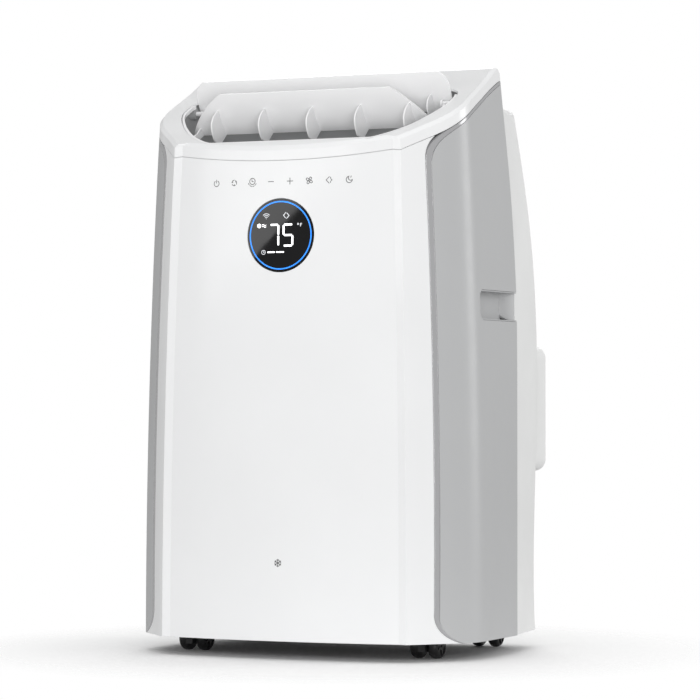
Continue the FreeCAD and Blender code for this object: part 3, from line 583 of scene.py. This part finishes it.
def build_filter(node, body):
    low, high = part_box(node)
    leans = node == "upper_filter"
    middle = (low.y + high.y) / 2
    base = Vector((0.0, high.y - MESH_DEPTH / 2 if leans else middle, low.z))
    top = Vector((0.0, low.y + MESH_DEPTH / 2 if leans else middle, high.z))
    up = (top - base).normalized()
    out = Vector((1, 0, 0)).cross(up)
    height = (top - base).length
    x0, x1 = low.x, high.x
    bm = bmesh.new()
    side = Vector((1, 0, 0))
    rim = MESH_RIM
    for x in (x0 + rim, x1 - rim):
        p = Vector((x, base.y, base.z))
        bar_into(bm, p, p + up * height, side, out, rim, 0.0012)
    for t in (rim, height - rim):
        p = base + up * t
        bar_into(bm, Vector((x0, p.y, p.z)), Vector((x1, p.y, p.z)), up, out, rim, 0.0012)
    ribs = max(2, round((x1 - x0) / RIB_SPACING))
    for k in range(1, ribs):
        x = x0 + (x1 - x0) * k / ribs
        p = Vector((x, base.y, base.z))
        bar_into(bm, p, p + up * height, side, out, 0.0011, 0.0011)
    pitch = MESH_PITCH
    thread = MESH_THREAD
    columns = int((x1 - x0 - 2 * rim) / pitch)
    for k in range(1, columns):
        p = Vector((x0 + rim + pitch * k, base.y, base.z)) + out * thread
        bar_into(bm, p + up * rim, p + up * (height - rim), side, out, thread, thread)
    rows = int((height - 2 * rim) / pitch)
    for k in range(1, rows):
        p = base + up * (rim + pitch * k) - out * thread
        bar_into(bm, Vector((x0 + rim, p.y, p.z)), Vector((x1 - rim, p.y, p.z)), up, out, thread, thread)
    obj = piece_from_bmesh(bm, node + "_mesh", body, "filter_mesh")
    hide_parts(node)


# ---- caster wheels -----------------------------------------------------------
def wheel_into(bm, x0, x1, y, z, outward):
    """A turned wheel with a rounded tread, a dished hub and five spokes."""
    bore = WHEEL_BORE
    w = x1 - x0
    profile = [(0.0, bore), (0.0, 0.006), (0.0, 0.0118), (0.0005, 0.0139), (0.0022, 0.0154), (0.0045, 0.0159),
               (w * 0.5, WHEEL_R), (w - 0.0045, 0.0159), (w - 0.0022, 0.0154), (w - 0.0005, 0.0139),
               (w, 0.0124), (w - 0.0014, 0.0116), (w - 0.0022, 0.0110), (w - 0.0022, 0.0058),
               (w - 0.0006, 0.0050), (w - 0.0006, bore)]
    steps = 48
    rings = []
    for k in range(steps):
        a = 2.0 * math.pi * k / steps
        ring = []
        for d, rad in profile:
            x = x0 + d if outward > 0 else x1 - d
            ring.append(bm.verts.new((x, y + rad * math.cos(a), z + rad * math.sin(a))))
        rings.append(ring)
    for k in range(steps):
        a, b = rings[k], rings[(k + 1) % steps]
        for j in range(len(profile)):
            i = (j + 1) % len(profile)
            bm.faces.new((a[j], a[i], b[i], b[j]))
    for k in range(SPOKES):
        a = 2.0 * math.pi * k / SPOKES
        radial = Vector((0.0, math.cos(a), math.sin(a)))
        across = Vector((0.0, -math.sin(a), math.cos(a)))
        face = (x1 if outward > 0 else x0) - outward * 0.0014
        p = Vector((face, y, z))
        bar_into(bm, p + radial * 0.0053, p + radial * 0.0113, across, Vector((1, 0, 0)), 0.0011, 0.0009)


def build_wheels():
    for place in ("front_left", "front_right", "rear_left", "rear_right"):
        node = place + "_caster_wheels"
        low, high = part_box(node)
        mid = (low + high) / 2
        bm = bmesh.new()
        wheel_into(bm, low.x, mid.x - WHEEL_GAP, mid.y, mid.z, -1.0)
        wheel_into(bm, mid.x + WHEEL_GAP, high.x, mid.y, mid.z, 1.0)
        obj = piece_from_bmesh(bm, place + "_wheel_pair", place + "_wheels",
                               "wheel_black", True)
        obj.data.set_sharp_from_angle(angle=math.radians(38))
        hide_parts(node)


# ---- studio ------------------------------------------------------------------
def build_floor():
    bm = bmesh.new()
    bmesh.ops.create_circle(bm, cap_ends=True, segments=96, radius=FLOOR_R)
    mesh = bpy.data.meshes.new("floor")
    bm.to_mesh(mesh)
    bm.free()
    look = Look("floor_paper", (0.97, 0.97, 0.97), 0.9)
    look.tint(look.noise(3.0, 3.0), 0.995, 1.0)
    # the sheet fades out towards its rim
    far = look.node("ShaderNodeVectorMath")
    far.operation = "LENGTH"
    look.link(look.coords, far.inputs[0])
    look.link(look.span(far.outputs["Value"], 1.0, 0.0, 0.22, 0.5), look.shader.inputs["Alpha"])
    mesh.materials.append(look.done())
    floor = bpy.data.objects.new("floor", mesh)
    SCENE.collection.objects.link(floor)


def area_light(name, azimuth, elevation, distance, size, radiance, roll=0.0, aim=STUDIO_AIM):
    """A soft panel light; azimuth 0 is in front, 90 to the right. Radiance, not watts."""
    data = bpy.data.lights.new(name, "AREA")
    data.shape = "RECTANGLE"
    data.size, data.size_y = size
    data.energy = radiance * math.pi * size[0] * size[1]
    obj = bpy.data.objects.new(name, data)
    a, e = math.radians(azimuth), math.radians(elevation)
    back = Vector((math.sin(a) * math.cos(e), -math.cos(a) * math.cos(e), math.sin(e)))
    obj.location = Vector(aim) + back * distance
    obj.rotation_mode = "QUATERNION"
    face = (-back).to_track_quat("-Z", "Y").to_matrix() @ Matrix.Rotation(math.radians(roll), 3, "Z")
    obj.rotation_quaternion = face.to_quaternion()
    SCENE.collection.objects.link(obj)


def build_world():
    world = bpy.data.worlds.new("studio")
    SCENE.world = world
    world.use_nodes = True
    tree = world.node_tree
    tree.nodes.clear()
    out = tree.nodes.new("ShaderNodeOutputWorld")
    seen = tree.nodes.new("ShaderNodeBackground")
    fill = tree.nodes.new("ShaderNodeBackground")
    mix = tree.nodes.new("ShaderNodeMixShader")
    path = tree.nodes.new("ShaderNodeLightPath")
    seen.inputs["Color"].default_value = (1.0, 1.0, 1.0, 1.0)
    seen.inputs["Strength"].default_value = 1.0
    fill.inputs["Color"].default_value = (1.0, 1.0, 1.0, 1.0)
    fill.inputs["Strength"].default_value = 0.49
    tree.links.new(path.outputs["Is Camera Ray"], mix.inputs["Fac"])
    tree.links.new(fill.outputs["Background"], mix.inputs[1])
    tree.links.new(seen.outputs["Background"], mix.inputs[2])
    tree.links.new(mix.outputs["Shader"], out.inputs["Surface"])


def build_studio():
    SCENE.view_settings.view_transform = "Standard"
    build_world()
    build_floor()
    area_light("key_panel", 28.0, 4.0, 3.2, (1.8, 2.0), 3.8)
    area_light("top_panel", 0.0, 80.0, 2.6, (2.4, 2.0), 0.9)
    area_light("left_panel", -27.0, 10.1, 3.4, (2.2, 0.5), 3.6, 12.0, (0.0, -0.18, 0.505))
    area_light("rear_panel", 122.0, 15.0, 3.2, (1.4, 2.0), 3.2)
    area_light("back_panel", 200.0, 20.0, 3.2, (2.0, 2.0), 2.2)


# ---- assemble ----------------------------------------------------------------
add_camera()
dress_nodes()
build_display()
build_keys()
build_filter("upper_filter", "upper_grille")
build_filter("lower_filter", "lower_grille")
build_wheels()
build_studio()
